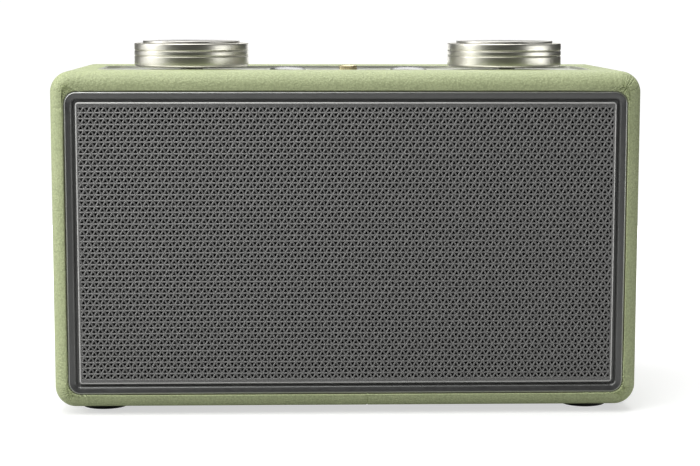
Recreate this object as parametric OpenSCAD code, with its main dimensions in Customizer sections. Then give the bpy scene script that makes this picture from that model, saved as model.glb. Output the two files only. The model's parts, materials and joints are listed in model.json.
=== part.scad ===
// Table radio receiver: leather-wrapped wooden cabinet, metal lattice grille, two knobs on a recessed top panel.
// Millimetres. +Z up, front faces -Y, origin on the table under the middle of the whole object.
// Inside place(), x is from the middle, y from the front face and z from the cabinet's underside.

/* [Cabinet] */
// Width over the leather
body_w = 280; // [272:1:300]
// Height over the leather, without feet and knobs
body_h = 161; // [159:1:168]
// Depth over the leather
body_d = 120; // [119:1:130]
// Radius of the four long corners
corner_r = 10; // [9.5:0.5:12]
// Roundover of the front edge
front_r = 7; // [5:0.5:8]
// Roundover of the rear edge
rear_r = 4; // [3:0.5:6]
// Thickness of the leather
wrap_t = 1.2; // [0.8:0.1:1.5]
// Thickness of the side and bottom boards
board_t = 9; // [8:0.5:10]
// Thickness of the top board
top_board_t = 12; // [11:0.5:13]
// Height of the rubber feet
foot_h = 3.5; // [3:0.5:6]

/* [Front] */
// Width of the bezel
bezel_w = 266.5; // [262:0.5:267]
// Height of the bezel
bezel_h = 145; // [141:0.5:145]
// Height of the bezel's lower edge over the cabinet's underside
bezel_z = 6.7; // [6.5:0.1:7.5]
// Width of the band between the bezel's outer edge and the grille
bezel_band = 5.4; // [5.2:0.1:6]
// Thickness of the speaker board behind the grille
baffle_t = 9; // [8:0.5:10]
// Distance of each speaker's axis from the middle
speaker_x = 72; // [66:1:78]

/* [Controls] */
// Diameter of a knob
knob_d = 57; // [50:0.5:58]
// Height of a knob's body
knob_h = 11.6; // [10:0.1:14]
// Distance between the two knobs
knob_pitch = 157; // [152:0.5:162]
// Diameter of a push button
button_d = 18.4; // [16:0.2:19]
// Distance between the two push buttons
button_pitch = 60.6; // [58:0.2:64]
// Travel of a push button
button_travel = 0.8; // [0.4:0.1:1]
// Offset of all the controls to the right of the middle
controls_x = 2.3; // [0:0.1:3]
// Depth of the top panel's face under the leather
panel_drop = 1.4; // [1:0.1:2]

/* [Rear] */
// Width of the battery door
door_w = 108; // [104:1:112]
// Height of the battery door
door_h = 56; // [56:1:60]
// Length of the antenna's outer tube
antenna_len = 150; // [120:1:160]

/* [Hidden] */
$fn = 64;
// Room between two pieces that turn or slide in each other
running = 0.06;

// Inside of the cabinet
in_x = body_w / 2 - wrap_t - board_t;
in_z0 = wrap_t + board_t;
in_z1 = body_h - wrap_t - top_board_t;
// The side boards run full height and reach a little past their own inner face above and below
split_x = in_x - 3;

// Front stack, each depth measured from the front face
bezel_zc = bezel_z + bezel_h / 2;
bezel_y0 = 0.3;
bezel_t = 3.3;
bezel_back = bezel_y0 + bezel_t;
bezel_r = 6;
grille_w = bezel_w - 2 * bezel_band;
grille_h = bezel_h - 2 * bezel_band + 0.6;
grille_y0 = 0.6;
grille_t = 1;
baffle_y0 = 8;
cloth_t = 0.4;
cloth_y0 = baffle_y0 - cloth_t;
baffle_y1 = baffle_y0 + baffle_t;

// Speakers
speaker_z = (in_z0 + in_z1) / 2;
flange_r = 41;
speaker_hole_r = 34.5;
screw_ring_r = 37.8;
surround_r = 33;
cone_r = 28;
coil_r = 10;
basket_depth = 18;

// Top panel and what it carries
panel_w = 242;
panel_d = 66;
panel_r = 10;
panel_t = 3;
panel_rim = 0.8;
panel_y = body_d / 2;
panel_z1 = body_h - panel_drop;
panel_z0 = panel_z1 - panel_t;
dish_r = 14.6;
dish_depth = 1;
control_board_t = 1.6;
control_can_h = 8;
control_board_z1 = panel_z0 - control_can_h;
control_board_z0 = control_board_z1 - control_board_t;
knob_z0 = body_h + 0.6;
knob_r = knob_d / 2;
knob_groove = 0.55;
inlay_r = knob_r * 0.85;
inlay_t = 1.2;
shaft_r = 3;
bush_r = 3.5;
bush_z1 = panel_z1 + 2.8;
nut_h = 2;
left_knob_x = controls_x - knob_pitch / 2;
right_knob_x = controls_x + knob_pitch / 2;
left_button_x = controls_x - button_pitch / 2;
right_button_x = controls_x + button_pitch / 2;
button_r = button_d / 2;
button_flange_z0 = panel_z0 - 1.6;
button_flange_z1 = panel_z0 - 0.2;
button_top_z = panel_z1 + 2.1;
stem_r = 2;
switch_z1 = control_board_z1 + 1.85;
stem_z0 = switch_z1 + button_travel + 0.05;
jack_r = 3;
jack_bore_r = 1.8;
jack_bore_l = 14;
jack_z1 = panel_z1 + 2.2;
jack_nut_h = 2.6;
jack_nut_r = 4.4;
knurls = 36;

// Rear
panel_rear_y1 = body_d - 2;
rear_t = 3;
panel_rear_y0 = panel_rear_y1 - rear_t;
rear_w = 262;
rear_h = 142.4;
block = 14;
block_d = 20;
rear_screw_x = in_x - block / 2;
rear_screw_z = [in_z0 + block / 2, in_z1 - block / 2];
screw_r = 1.45;
pilot_r = 1.5;
door_z0 = 19;
door_gap = 0.4;
door_axis_y = panel_rear_y0 + 1.5;
door_axis_z = door_z0 + 1.4;
hinge_pin_r = 0.9;
tray_depth = 30;
tray_wall = 1.6;
cell_r = 12.6;
cell_l = 49;
antenna_x = 104;
antenna_z = 134;
antenna_y = panel_rear_y1 + 6.5;
tube_r = 3.3;
tube_wall = 0.6;
middle_r = tube_r - tube_wall - running;
rod_r = middle_r - tube_wall - running;
knuckle_r = 5;
tilt_pin_r = 1.1;
inlet_x = -95;
inlet_z = 22;

// Electronics: the main board stands on pillars in front of the rear panel, the ferrite rod lies above it
main_x0 = -112;
main_x1 = -60;
main_z0 = 34;
main_z1 = 128;
main_y0 = 98;
main_t = 1.6;
pillar_x = [main_x0 + 5, main_x1 - 5];
pillar_z = [main_z0 + 5, main_z1 - 5];
rod_y = 102;
rod_z = 139;
rod_core_r = 4;

// Whole object, the antenna standing behind the rear panel
total_d = antenna_y + tube_r;
front_y = -total_d / 2;
foot_r = 12;
foot_x = body_w / 2 - 22;
foot_y = [26, body_d - 26];

// ---------- helpers ----------

module place() {
    translate([0, front_y, foot_h]) children();
}

// Rectangle with round corners about its middle
module round_rect(w, h, r) {
    square([w - 2 * r, h], center = true);
    square([w, h - 2 * r], center = true);
    for (sx = [-1, 1], sy = [-1, 1])
        translate([sx * (w / 2 - r), sy * (h / 2 - r)]) circle(r);
}

// Upright plate facing the front, from depth y0 to y1
module front_plate(w, h, r, y0, y1, zc) {
    translate([0, y1, zc]) rotate([90, 0, 0]) linear_extrude(y1 - y0) round_rect(w, h, r);
}

// Cylinder along Y, from depth y0 to y1
module y_cylinder(r, y0, y1) {
    translate([0, y1, 0]) rotate([90, 0, 0]) cylinder(r = r, h = y1 - y0);
}

// Outline turned about the Y axis; its points are [radius, depth]
module y_turned(points) {
    rotate([-90, 0, 0]) rotate_extrude() polygon(points);
}

// Cabinet's outer form, shrunk all over by inset
module cabinet_form(inset) {
    r = corner_r - inset;
    hull()
        for (sx = [-1, 1], sz = [0, 1], end = [0, 1]) {
            edge = (end == 0 ? front_r : rear_r) - inset;
            y = end == 0 ? front_r : body_d - rear_r;
            x = sx * (body_w / 2 - corner_r);
            z = sz == 0 ? corner_r : body_h - corner_r;
            translate([x, y, z]) rotate([90, 0, 0]) rotate_extrude($fn = 32)
                translate([r - edge, 0]) intersection() {
                    circle(edge, $fn = 32);
                    translate([0, -edge]) square([edge, 2 * edge]);
                }
        }
}

module cabinet_inside() {
    translate([-in_x, -1, in_z0]) cube([2 * in_x, body_d + 2, in_z1 - in_z0]);
}

// Pockets in the ends of the boards, for the bezel and the rear panel
module cabinet_rebates() {
    front_plate(bezel_w + 0.4, bezel_h + 0.4, bezel_r + 0.2, -1, bezel_back, bezel_zc);
    front_plate(rear_w + 0.4, rear_h + 0.4, bezel_r, panel_rear_y0, body_d + 1, bezel_zc);
}

module foot_places(z) {
    for (sx = [-1, 1], y = foot_y)
        translate([sx * foot_x, y, z]) children();
}

// ---------- cabinet ----------

module leather_wrap() {
    color("darkseagreen") place() difference() {
        cabinet_form(0);
        cabinet_form(wrap_t);
        front_plate(bezel_w + 0.3, bezel_h + 0.3, bezel_r + 0.15, -1, front_r + 2, bezel_zc);
        front_plate(rear_w + 0.3, rear_h + 0.3, bezel_r, body_d - rear_r - 2, body_d + 1, bezel_zc);
        translate([0, panel_y, body_h - wrap_t - 1]) linear_extrude(wrap_t + 2)
            round_rect(panel_w + 0.4, panel_d + 0.4, panel_r + 0.2);
        foot_places(-1) cylinder(r = 2, h = wrap_t + 2);
    }
}

module cabinet_board(x0, x1, z0, z1) {
    difference() {
        intersection() {
            cabinet_form(wrap_t);
            translate([x0, 0, z0]) cube([x1 - x0, body_d, z1 - z0]);
        }
        cabinet_inside();
        cabinet_rebates();
    }
}

module cabinet_top() {
    color("burlywood") place() difference() {
        cabinet_board(-split_x, split_x, body_h / 2, body_h);
        translate([0, panel_y, panel_z0]) linear_extrude(body_h)
            round_rect(panel_w + 0.4, panel_d + 0.4, panel_r + 0.2);
        translate([0, panel_y, in_z1 - 1]) linear_extrude(body_h)
            round_rect(panel_w - 8, panel_d - 8, panel_r - 2);
    }
}

module cabinet_bottom() {
    color("burlywood") place() difference() {
        cabinet_board(-split_x, split_x, 0, body_h / 2);
        foot_places(0) cylinder(r = pilot_r, h = wrap_t + 6.5);
    }
}

module cabinet_left() {
    color("burlywood") place() cabinet_board(-body_w / 2, -split_x, 0, body_h);
}

module cabinet_right() {
    color("burlywood") place() cabinet_board(split_x, body_w / 2, 0, body_h);
}

module corner_blocks() {
    color("tan") place() for (sx = [-1, 1], z = rear_screw_z)
        difference() {
            translate([sx * rear_screw_x - block / 2, panel_rear_y0 - block_d, z - block / 2])
                cube([block, block_d, block]);
            translate([sx * rear_screw_x, 0, z]) y_cylinder(pilot_r, panel_rear_y0 - 12, panel_rear_y0 + 1);
        }
}

module feet() {
    color("dimgray") place() foot_places(-foot_h) difference() {
        rotate_extrude() polygon([[0, 0], [foot_r - 1, 0], [foot_r, 1], [foot_r, foot_h], [0, foot_h]]);
        translate([0, 0, -1]) cylinder(r = 3.6, h = 3);
        cylinder(r = 1.7, h = foot_h + 1);
    }
}

module foot_screws() {
    color("silver") place() foot_places(-foot_h) {
        translate([0, 0, 2]) cylinder(r = screw_r, h = 8);
        translate([0, 0, 0.6]) cylinder(r = 3.2, h = 1.4);
    }
}

// ---------- front ----------

module baffle() {
    color("darkslategray") place() difference() {
        translate([-in_x, baffle_y0, in_z0]) cube([2 * in_x, baffle_t, in_z1 - in_z0]);
        for (sx = [-1, 1]) translate([sx * speaker_x, 0, speaker_z]) {
            y_cylinder(speaker_hole_r, baffle_y0 - 1, baffle_y1 + 1);
            speaker_screw_places() y_cylinder(pilot_r, baffle_y1 - 6, baffle_y1 + 1);
        }
    }
}

module bezel() {
    inner_w = grille_w + 0.8;
    inner_h = grille_h + 0.8;
    color("dimgray") place() difference() {
        union() {
            front_plate(bezel_w, bezel_h, bezel_r, bezel_y0, bezel_back, bezel_zc);
            // Spigot round the grille, cut flush where the boards stand close
            intersection() {
                front_plate(inner_w + 2.2, inner_h + 2.2, 2, bezel_back - 1, cloth_y0, bezel_zc);
                cabinet_inside();
            }
        }
        front_plate(inner_w, inner_h, 1, -1, baffle_y0 + 1, bezel_zc);
        front_plate(bezel_w - 2.4, bezel_h - 2.4, bezel_r - 1.2, -1, bezel_y0 + 0.8, bezel_zc);
    }
}

module grille() {
    color("gray") place() difference() {
        front_plate(grille_w, grille_h, 1.5, grille_y0, cloth_y0, bezel_zc);
        front_plate(grille_w - 2 * grille_t, grille_h - 2 * grille_t, 0.5,
                    grille_y0 + grille_t, cloth_y0 + 1, bezel_zc);
    }
}

module grille_cloth() {
    color("black") place() front_plate(grille_w, grille_h, 1.5, cloth_y0, baffle_y0, bezel_zc);
}

// ---------- speakers ----------

module speaker_screw_places() {
    for (a = [45:90:315]) rotate([0, a, 0]) translate([screw_ring_r, 0, 0]) children();
}

module at_speaker(side) {
    place() translate([side * speaker_x, 0, speaker_z]) children();
}

module speaker_basket(side) {
    y0 = baffle_y1;
    y1 = y0 + 2;
    y2 = y0 + basket_depth;
    at_speaker(side) difference() {
        y_turned([[surround_r, y0], [flange_r, y0], [flange_r, y1], [surround_r + 2, y1], [24, y2],
                  [24, y2 + 1.5], [12, y2 + 1.5], [12, y2], [22, y2], [surround_r, y1]]);
        speaker_screw_places() y_cylinder(1.7, y0 - 1, y1 + 1);
        for (a = [0, 90]) rotate([0, a, 0])
            translate([-50, y1 + 2, -8]) cube([100, basket_depth - 6, 16]);
    }
}

module speaker_cone(side) {
    y0 = baffle_y1 - 0.4;
    wall = 0.7;
    at_speaker(side) {
        // Paper cone with its dust cap and the voice coil's tube
        y_turned([[cone_r, y0], [cone_r, y0 + wall], [coil_r + 0.3, y0 + 10], [coil_r + 0.3, y0 + 26],
                  [coil_r - 0.3, y0 + 26], [coil_r - 0.3, y0 + 10], [coil_r - 3, y0 + 7.6],
                  [0, y0 + 6.6], [0, y0 + 5.8], [coil_r - 2, y0 + 6.6], [coil_r + 0.5, y0 + 9]]);
    }
}

// Half roll between the cone and the basket, with a lip glued on the basket's flange
module speaker_surround(side) {
    roll_r = 2.2;
    thick = 1.6;
    at_speaker(side) rotate([-90, 0, 0]) rotate_extrude() translate([0, baffle_y1 - 0.4]) {
        difference() {
            translate([cone_r, 0]) square([surround_r - cone_r, thick]);
            translate([(cone_r + surround_r) / 2, thick / 2 + roll_r]) circle(r = roll_r);
        }
        translate([surround_r - 0.01, 0]) square([1.2, 0.4]);
    }
}

module speaker_spider(side) {
    y = baffle_y1 + 14.4;
    at_speaker(side) y_turned([[coil_r + 0.4, y], [coil_r + 3, y - 0.8], [coil_r + 6, y + 0.6],
                               [coil_r + 9, y - 0.4], [coil_r + 12.4, y], [coil_r + 12.4, y + 0.5],
                               [coil_r + 9, y + 0.1], [coil_r + 6, y + 1.1], [coil_r + 3, y - 0.3],
                               [coil_r + 0.4, y + 0.5]]);
}

module speaker_yoke(side) {
    y0 = baffle_y1 + basket_depth + 1.5;
    at_speaker(side) {
        // Front plate around the voice coil
        y_turned([[coil_r + 0.9, y0], [22, y0], [22, y0 + 3], [coil_r + 0.9, y0 + 3]]);
        // Back plate with the pole that stands in the voice coil
        y_turned([[0, y0 - 1], [coil_r - 0.9, y0 - 1], [coil_r - 0.9, y0 + 11], [22, y0 + 11],
                  [22, y0 + 14], [0, y0 + 14]]);
    }
}

module speaker_magnet(side) {
    y0 = baffle_y1 + basket_depth + 4.5;
    at_speaker(side) y_turned([[coil_r + 3, y0], [24.5, y0], [24.5, y0 + 8], [coil_r + 3, y0 + 8]]);
}

module left_speaker_basket() { color("slategray") speaker_basket(-1); }
module left_speaker_cone() { color("black") speaker_cone(-1); }
module left_speaker_surround() { color("dimgray") speaker_surround(-1); }
module left_speaker_spider() { color("peru") speaker_spider(-1); }
module left_speaker_yoke() { color("silver") speaker_yoke(-1); }
module left_speaker_magnet() { color("darkgray") speaker_magnet(-1); }
module right_speaker_basket() { color("slategray") speaker_basket(1); }
module right_speaker_cone() { color("black") speaker_cone(1); }
module right_speaker_surround() { color("dimgray") speaker_surround(1); }
module right_speaker_spider() { color("peru") speaker_spider(1); }
module right_speaker_yoke() { color("silver") speaker_yoke(1); }
module right_speaker_magnet() { color("darkgray") speaker_magnet(1); }

module speaker_screws() {
    y1 = baffle_y1 + 2;
    color("silver") for (side = [-1, 1]) at_speaker(side) speaker_screw_places() {
        y_cylinder(screw_r, baffle_y1 - 5.5, y1);
        y_cylinder(2.7, y1, y1 + 1.6);
    }
}

// ---------- top panel and controls ----------

// Shallow tray: its rim stands almost up to the leather
module top_panel() {
    color("lightgray") place() difference() {
        translate([0, panel_y, panel_z0]) linear_extrude(body_h - 0.2 - panel_z0)
            round_rect(panel_w, panel_d, panel_r);
        translate([0, panel_y, panel_z1]) linear_extrude(panel_drop + 1)
            round_rect(panel_w - 2 * panel_rim, panel_d - 2 * panel_rim, panel_r - panel_rim);
        for (x = [left_knob_x, right_knob_x])
            translate([x, panel_y, panel_z0 - 1]) cylinder(r = bush_r + 0.1, h = panel_t + 2);
        translate([controls_x, panel_y, panel_z0 - 1]) cylinder(r = jack_r + 0.1, h = panel_t + 2);
        for (x = [left_button_x, right_button_x]) translate([x, panel_y, 0]) {
            translate([0, 0, panel_z0 - 1]) cylinder(r = button_r + 0.3, h = panel_t + 2);
            rotate_extrude() polygon([[0, panel_z1 - dish_depth], [dish_r - 2.6, panel_z1 - dish_depth],
                                      [dish_r, panel_z1], [dish_r, panel_z1 + 1], [0, panel_z1 + 1]]);
        }
    }
}

module control_board() {
    color("darkgreen") place() difference() {
        translate([-100, panel_y - 20, control_board_z0]) cube([200, 40, control_board_t]);
        // Gap where the jack socket hangs through the board
        translate([controls_x - 7, panel_y - 6, control_board_z0 - 1]) cube([14, 12, control_board_t + 2]);
    }
}

module push_button(x) {
    dome_r = button_r - 1.5;
    place() translate([x, panel_y, 0]) {
        rotate_extrude() polygon([
            [0, stem_z0], [stem_r, stem_z0], [stem_r, button_flange_z0], [button_r + 1.2, button_flange_z0],
            [button_r + 1.2, button_flange_z1], [button_r, button_flange_z1], [button_r, panel_z1 + 0.4],
            [button_r - 0.35, panel_z1 + 1.0], [dome_r, button_top_z - 0.55],
            [dome_r * 0.72, button_top_z - 0.22], [dome_r * 0.38, button_top_z - 0.05], [0, button_top_z]
        ]);
    }
}

// Coil spring about Z: one tube swept round a helix
module coil_spring(coil_r, wire_r, h, turns) {
    sides = 8;
    steps = 16 * turns;
    ring = [for (k = [0:sides - 1]) [coil_r + wire_r * cos(k * 360 / sides), wire_r * sin(k * 360 / sides)]];
    points = [for (i = [0:steps], p = ring) let (a = i * 360 * turns / steps)
        [p[0] * cos(a), p[0] * sin(a), wire_r + (h - 2 * wire_r) * i / steps + p[1]]];
    walls = [for (i = [0:steps - 1], k = [0:sides - 1]) let (a = i * sides, b = a + sides, n = (k + 1) % sides)
        [a + k, b + k, b + n, a + n]];
    start = [for (k = [0:sides - 1]) k];
    end = [for (k = [sides - 1:-1:0]) steps * sides + k];
    polyhedron(points, concat(walls, [start, end]));
}

module button_spring(x) {
    color("gainsboro") place() translate([x, panel_y, control_board_z1])
        coil_spring(4, 0.3, button_flange_z0 - control_board_z1, 4);
}

module left_button() { color("gainsboro") push_button(left_button_x); }
module right_button() { color("gainsboro") push_button(right_button_x); }
module left_button_spring() { button_spring(left_button_x); }
module right_button_spring() { button_spring(right_button_x); }

module button_switches() {
    color("black") place() for (x = [left_button_x, right_button_x]) translate([x, panel_y, control_board_z1]) {
        translate([-2.4, -2.4, 0]) cube([4.8, 4.8, 1.3]);
        cylinder(r = 1.2, h = switch_z1 - control_board_z1);
    }
}

// Turned knob with two grooves round its rim and a hollow underside
module knob(x) {
    g = knob_groove;
    g1 = knob_h * 0.466;
    g2 = knob_h * 0.698;
    chamfer = 0.8;
    roof = 4.4;
    place() translate([x, panel_y, knob_z0]) difference() {
        rotate_extrude($fn = 128) polygon([
            [shaft_r + running, 2.2], [7, 2.2], [7, roof], [knob_r - 3, roof], [knob_r - 3, 0], [knob_r - chamfer, 0],
            [knob_r, chamfer], [knob_r, g1 - g], [knob_r - g, g1], [knob_r, g1 + g],
            [knob_r, g2 - g], [knob_r - g, g2], [knob_r, g2 + g],
            [knob_r, knob_h - 0.3], [knob_r - 0.3, knob_h], [shaft_r + running, knob_h]
        ]);
    }
}

// Raised disc on the knob, with a dimple that shows where the knob points
module knob_inlay(x) {
    dimple_r = 1.4;
    place() translate([x, panel_y, knob_z0 + knob_h]) difference() {
        rotate_extrude($fn = 128)
            polygon([[0, 0], [inlay_r, 0], [inlay_r, inlay_t - 0.5], [inlay_r - 0.5, inlay_t], [0, inlay_t]]);
        translate([0, -inlay_r + 4.5, inlay_t - 0.5]) cylinder(r = dimple_r, h = 1);
    }
}

// Shaft from the control's can up into the knob
module control_shaft(x) {
    z0 = panel_z0 - 5;
    place() translate([x, panel_y, z0]) {
        cylinder(r = shaft_r, h = knob_z0 + knob_h - 0.5 - z0);
        cylinder(r = shaft_r + 2.5, h = 2);
    }
}

// Can and threaded bush that hold the shaft
module control_body(x) {
    can_r = 8.5;
    place() translate([x, panel_y, 0]) difference() {
        union() {
            translate([0, 0, control_board_z1]) cylinder(r = can_r, h = control_can_h);
            translate([0, 0, panel_z0]) cylinder(r = bush_r, h = bush_z1 - panel_z0);
        }
        translate([0, 0, panel_z0 - 5 - 0.2]) cylinder(r = shaft_r + 2.5 + 0.3, h = 2.4);
        translate([0, 0, panel_z0 - 4]) cylinder(r = shaft_r + running, h = 20);
    }
}

module volume_knob() { color("lightgray") knob(left_knob_x); }
module volume_knob_inlay() { color("silver") knob_inlay(left_knob_x); }
module volume_shaft() { color("silver") control_shaft(left_knob_x); }
module volume_control() { color("darkgray") control_body(left_knob_x); }
module tuning_knob() { color("lightgray") knob(right_knob_x); }
module tuning_knob_inlay() { color("silver") knob_inlay(right_knob_x); }
module tuning_shaft() { color("silver") control_shaft(right_knob_x); }
module tuning_control() { color("darkgray") control_body(right_knob_x); }

module control_nuts() {
    color("silver") place() for (x = [left_knob_x, right_knob_x]) translate([x, panel_y, panel_z1])
        difference() {
            cylinder(r = 5.6, h = nut_h, $fn = 6);
            translate([0, 0, -1]) cylinder(r = bush_r + 0.02, h = nut_h + 2);
        }
}

module jack_nut() {
    tooth = 0.25;
    color("goldenrod") place() translate([controls_x, panel_y, panel_z1]) difference() {
        linear_extrude(jack_nut_h) polygon([for (i = [0:2 * knurls - 1])
            let (r = jack_nut_r - (i % 2) * tooth, a = i * 180 / knurls) [r * cos(a), r * sin(a)]]);
        translate([0, 0, -1]) cylinder(r = jack_r + 0.02, h = jack_nut_h + 2);
    }
}

module jack_socket() {
    color("dimgray") place() translate([controls_x, panel_y, 0]) difference() {
        union() {
            translate([-6, -5, jack_z1 - 19]) cube([12, 10, panel_z0 - jack_z1 + 19]);
            translate([0, 0, panel_z0]) cylinder(r = jack_r, h = jack_z1 - panel_z0);
        }
        translate([0, 0, jack_z1 - jack_bore_l]) cylinder(r = jack_bore_r, h = jack_bore_l + 1);
    }
}

// ---------- electronics ----------

module main_board() {
    color("darkgreen") place() difference() {
        translate([main_x0, main_y0, main_z0]) cube([main_x1 - main_x0, main_t, main_z1 - main_z0]);
        for (x = pillar_x, z = pillar_z)
            translate([x, 0, z]) y_cylinder(1.7, main_y0 - 1, main_y0 + 3);
    }
}

module board_capacitors() {
    color("midnightblue") place() for (p = [[-100, 52, 6.3], [-84, 52, 6.3], [-102, 72, 5], [-88, 72, 5], [-74, 72, 4]])
        translate([p[0], 0, p[1]]) y_cylinder(p[2], main_y0 - 2.6 * p[2], main_y0);
}

module tuner_shield() {
    color("silver") place() difference() {
        translate([-102, main_y0 - 12, 88]) cube([34, 12, 28]);
        translate([-101.5, main_y0 - 11.5, 88.5]) cube([33, 12, 27]);
    }
}

module ferrite_rod() {
    color("dimgray") place() translate([-50, rod_y, rod_z]) rotate([0, 90, 0]) cylinder(r = rod_core_r, h = 100);
}

module ferrite_coil() {
    color("chocolate") place() translate([-16, rod_y, rod_z]) rotate([0, 90, 0]) difference() {
        cylinder(r = 5.4, h = 28);
        translate([0, 0, -1]) cylinder(r = rod_core_r + running, h = 30);
    }
}

module rod_holders() {
    color("ivory") place() for (x = [-42, 34]) difference() {
        translate([x, rod_y - 7, rod_z - 7]) cube([6, 14, in_z1 - rod_z + 7]);
        translate([x - 1, rod_y, rod_z]) rotate([0, 90, 0]) cylinder(r = rod_core_r + running, h = 8);
    }
}

// ---------- rear ----------

module rear_panel() {
    inlet_hole_r = 5.1;
    color("darkslategray") place() {
        difference() {
            union() {
                front_plate(rear_w, rear_h, bezel_r - 0.2, panel_rear_y0, panel_rear_y1, bezel_zc);
                // Pillars that carry the main board
                for (x = pillar_x, z = pillar_z)
                    translate([x, 0, z]) y_cylinder(3, main_y0 + main_t, panel_rear_y0 + 1);
            }
            for (sx = [-1, 1], z = rear_screw_z)
                translate([sx * rear_screw_x, 0, z]) y_cylinder(1.7, panel_rear_y0 - 1, panel_rear_y1 + 1);
            translate([-door_w / 2, panel_rear_y0 - 1, door_z0 - door_gap])
                cube([door_w, rear_t + 2, door_h + 2 * door_gap]);
            translate([-door_w / 2 - 2.2, door_axis_y, door_axis_z]) rotate([0, 90, 0])
                cylinder(r = hinge_pin_r + running, h = door_w + 4.4);
            translate([inlet_x, 0, inlet_z]) y_cylinder(inlet_hole_r, panel_rear_y0 - 1, panel_rear_y1 + 1);
            translate([antenna_x, 0, antenna_z]) y_cylinder(3.1, panel_rear_y0 - 1, panel_rear_y1 + 1);
            // Air slots above the battery door
            for (i = [-5:5]) translate([i * 9 - 1.5, panel_rear_y0 - 1, 94]) cube([3, rear_t + 2, 18]);
        }
    }
}

module rear_screws() {
    color("silver") place() for (sx = [-1, 1], z = rear_screw_z) translate([sx * rear_screw_x, 0, z]) difference() {
        union() {
            y_cylinder(screw_r, panel_rear_y0 - 10, panel_rear_y1);
            y_cylinder(3, panel_rear_y1, panel_rear_y1 + 1.6);
        }
        // Cross slot
        for (a = [0, 90]) rotate([0, a, 0]) translate([-1.8, panel_rear_y1 + 0.8, -0.35]) cube([3.6, 1, 0.7]);
    }
}

module battery_tray() {
    w = door_w + 4;
    h = door_h + 4;
    z0 = door_z0 - 2;
    color("dimgray") place() difference() {
        translate([-w / 2, panel_rear_y0 - tray_depth, z0]) cube([w, tray_depth, h]);
        translate([-w / 2 + tray_wall, panel_rear_y0 - tray_depth + tray_wall, z0 + tray_wall])
            cube([w - 2 * tray_wall, tray_depth, h - 2 * tray_wall]);
    }
}

module battery_cells() {
    color("silver") place() for (sx = [-1, 1], sz = [-1, 1])
        translate([sx * (cell_l / 2 + 1.6), panel_rear_y0 - tray_depth + tray_wall + cell_r + 0.4,
                   door_z0 + door_h / 2 + sz * (cell_r + 0.6)])
            rotate([0, 90, 0]) {
                translate([0, 0, -cell_l / 2]) cylinder(r = cell_r, h = cell_l - 1.5);
                cylinder(r = 3, h = cell_l / 2);
            }
}

module battery_door() {
    plate_w = door_w - 2 * door_gap;
    color("darkslategray") place() difference() {
        union() {
            translate([-plate_w / 2, panel_rear_y0 + 0.3, door_axis_z])
                cube([plate_w, rear_t - 0.6, door_z0 + door_h - door_gap - door_axis_z]);
            translate([-plate_w / 2, door_axis_y, door_axis_z]) rotate([0, 90, 0])
                cylinder(r = 1.2, h = plate_w);
            translate([-door_w / 2 - 2, door_axis_y, door_axis_z]) rotate([0, 90, 0])
                cylinder(r = hinge_pin_r, h = door_w + 4);
        }
        // Thumb notch
        translate([-9, panel_rear_y1 - 1.2, door_z0 + door_h - 6]) cube([18, 3, 3]);
    }
}

module dc_inlet() {
    color("black") place() translate([inlet_x, 0, inlet_z]) {
        difference() {
            union() {
                y_cylinder(5, panel_rear_y0 - 10, panel_rear_y1);
                y_cylinder(6.5, panel_rear_y1, panel_rear_y1 + 1);
            }
            y_cylinder(3.2, panel_rear_y0 - 7, panel_rear_y1 + 2);
        }
        y_cylinder(1, panel_rear_y0 - 8, panel_rear_y1 - 1.5);
    }
}

// ---------- antenna ----------

module at_antenna() {
    place() translate([antenna_x, 0, antenna_z]) children();
}

module antenna_base() {
    color("silver") at_antenna() difference() {
        union() {
            y_cylinder(3, panel_rear_y0 - 3, panel_rear_y1);
            y_cylinder(6, panel_rear_y1, panel_rear_y1 + 1.5);
            y_cylinder(5, panel_rear_y0 - 2.5, panel_rear_y0);
        }
        y_cylinder(1.5 + running, panel_rear_y0 - 4, panel_rear_y1 + 2);
    }
}

module antenna_knuckle() {
    disc_y0 = panel_rear_y1 + 1.5 + running;
    disc_y1 = antenna_y - 2.5;
    ear_z0 = 1.6;
    ear_t = 1.4;
    color("silver") at_antenna() {
        y_cylinder(1.5, panel_rear_y0 - 2, disc_y0 + 1);
        y_cylinder(knuckle_r, disc_y0, disc_y1);
        for (s = [-1, 1]) translate([0, 0, s * (ear_z0 + ear_t / 2)]) {
            translate([-2.4, disc_y1 - 1, -ear_t / 2]) cube([4.8, antenna_y - disc_y1 + 1, ear_t]);
            translate([0, antenna_y, -ear_t / 2]) cylinder(r = 2.4, h = ear_t);
        }
        translate([0, antenna_y, -ear_z0 - 1]) cylinder(r = tilt_pin_r, h = 2 * (ear_z0 + 1));
    }
}

// Tube along -X from the tilt pin, with a flat tongue between the knuckle's ears
module antenna_outer_tube() {
    tongue = 1.5;
    start = 6;
    color("gainsboro") at_antenna() translate([0, antenna_y, 0]) difference() {
        union() {
            translate([0, 0, -tongue]) cylinder(r = 2.3, h = 2 * tongue);
            translate([-start - 1, -2.3, -tongue]) cube([start + 1, 4.6, 2 * tongue]);
            translate([-start, 0, 0]) rotate([0, -90, 0]) cylinder(r = tube_r, h = antenna_len);
        }
        translate([0, 0, -tongue - 1]) cylinder(r = tilt_pin_r + running, h = 2 * tongue + 2);
        translate([-start - 4, 0, 0]) rotate([0, -90, 0]) cylinder(r = tube_r - tube_wall, h = antenna_len);
    }
}

module antenna_middle_tube() {
    start = 12;
    color("gainsboro") at_antenna() translate([-start, antenna_y, 0]) rotate([0, -90, 0]) difference() {
        cylinder(r = middle_r, h = antenna_len - 6);
        translate([0, 0, 4]) cylinder(r = middle_r - tube_wall, h = antenna_len);
    }
}

module antenna_rod() {
    start = 17;
    tip_l = 6;
    end = antenna_len + 6.4;
    color("gainsboro") at_antenna() translate([-start, antenna_y, 0]) rotate([0, -90, 0]) {
        cylinder(r = rod_r, h = end - start + 1);
        translate([0, 0, end - start]) cylinder(r = tube_r, h = tip_l);
    }
}

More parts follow.
